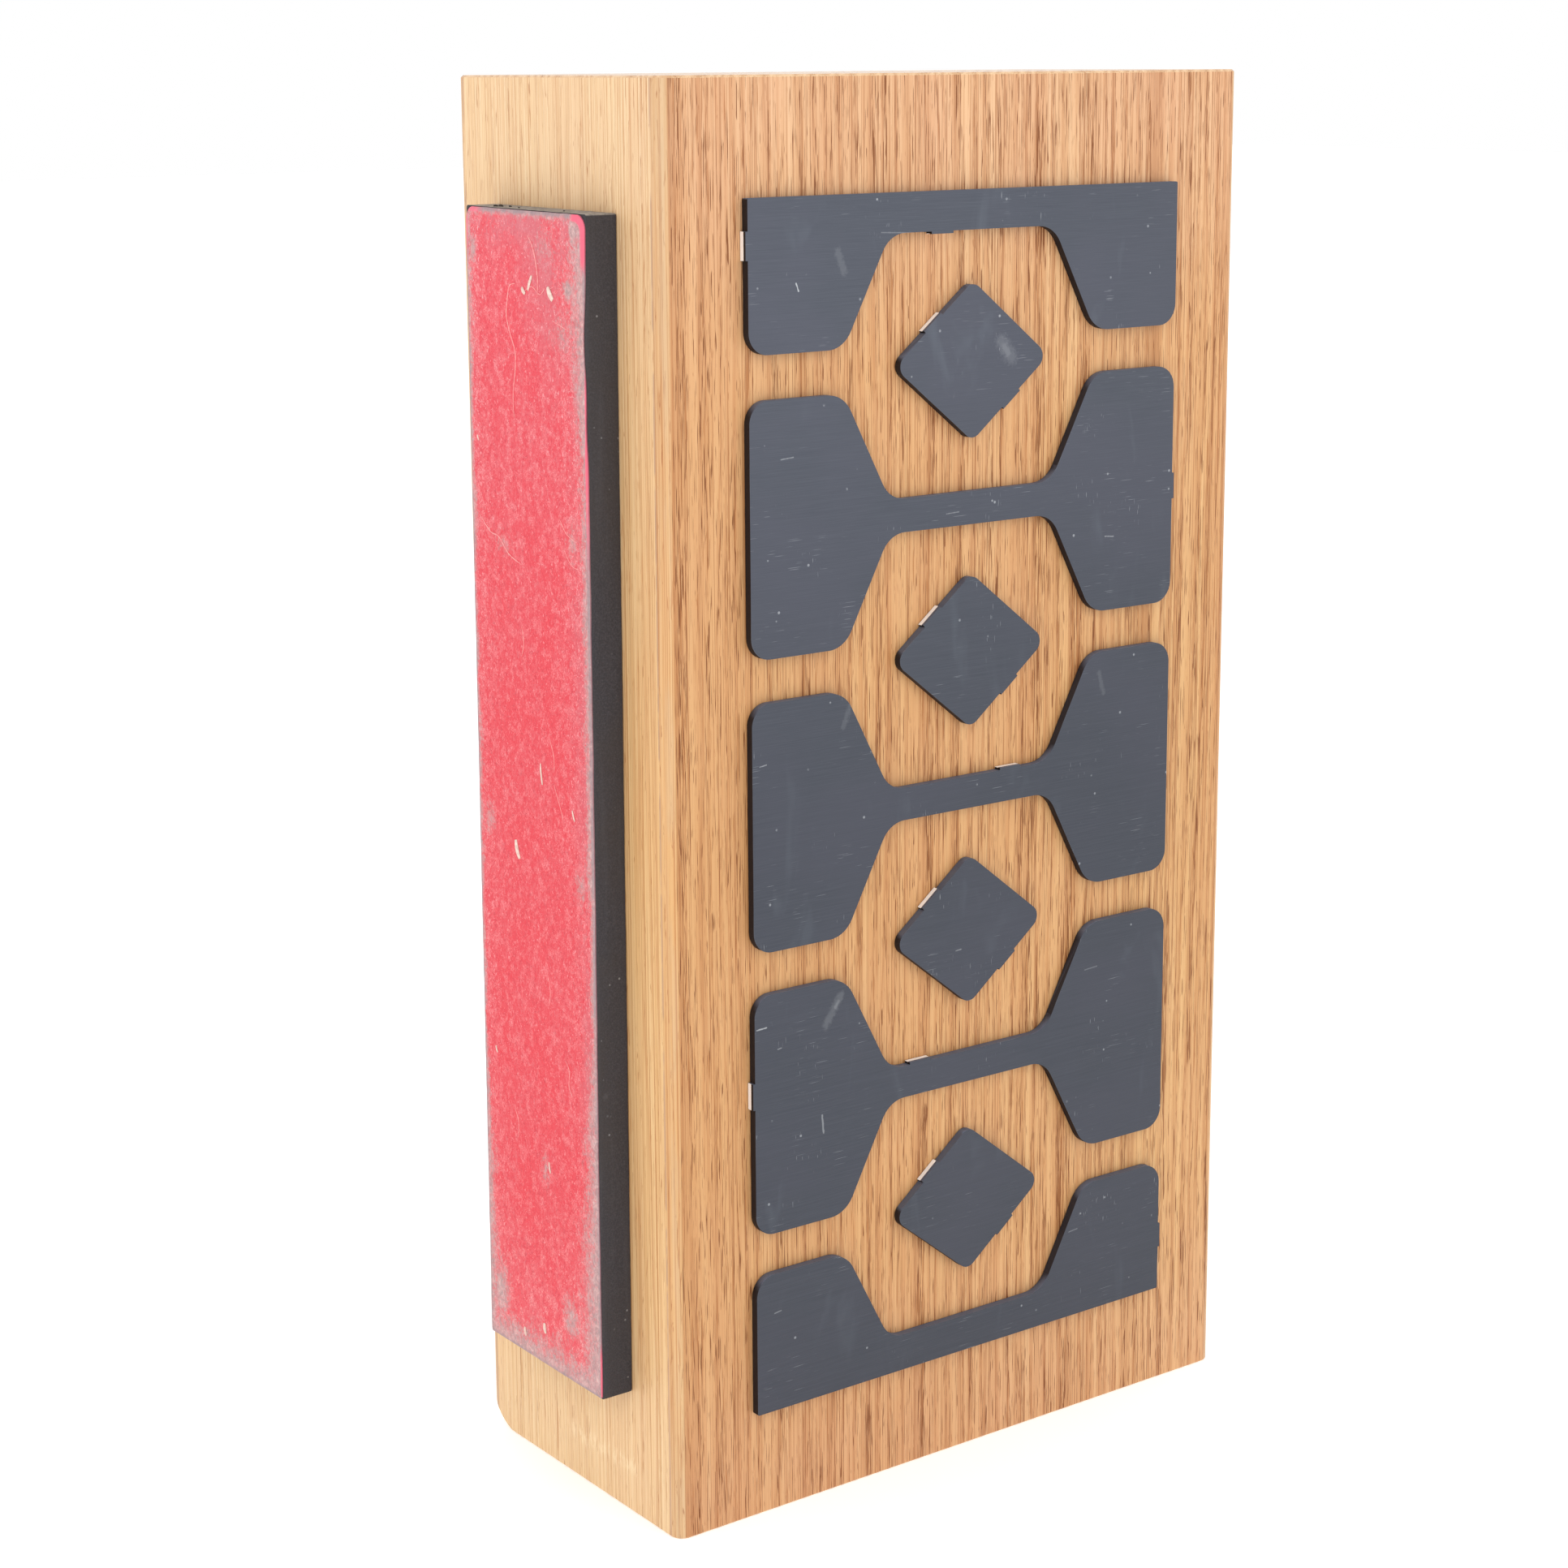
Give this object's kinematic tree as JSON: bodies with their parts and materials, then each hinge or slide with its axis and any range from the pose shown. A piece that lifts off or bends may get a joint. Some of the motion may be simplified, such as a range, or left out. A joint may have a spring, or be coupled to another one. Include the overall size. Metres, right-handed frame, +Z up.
{
  "type": "door stop block",
  "caption": "Heavy rectangular oak block that holds a door open by its weight, with a foam grip strip on one narrow side and dark aluminium plates on the front.",
  "frame": {"origin": "centre of the flat bottom end of the wood block", "axes": "+Z up along the grain and the longest side, the plates face -Y, the grip strip faces -X"},
  "size_m": [0.1362, 0.0652, 0.254],
  "materials": {
    "oak": "oiled, satin, straight vertical grain",
    "plate": "brushed, dark blue-grey anodised",
    "foam": "matt closed-cell foam",
    "facing": "worn red grip film with lint and grey dirt",
    "adhesive": "dull adhesive film"
  },
  "bodies": {
    "root": {"wood_block": "oak", "pad_adhesive": "adhesive", "foam_pad": "foam", "pad_facing": "facing", "plate_top": "plate", "plate_upper": "plate", "plate_middle": "plate", "plate_lower": "plate", "plate_bottom": "plate", "diamond_top": "plate", "diamond_upper": "plate", "diamond_lower": "plate", "diamond_bottom": "plate", "film_plate_top": "adhesive", "film_plate_upper": "adhesive", "film_plate_middle": "adhesive", "film_plate_lower": "adhesive", "film_plate_bottom": "adhesive", "film_diamond_top": "adhesive", "film_diamond_upper": "adhesive", "film_diamond_lower": "adhesive", "film_diamond_bottom": "adhesive"}
  },
  "joints": []
}
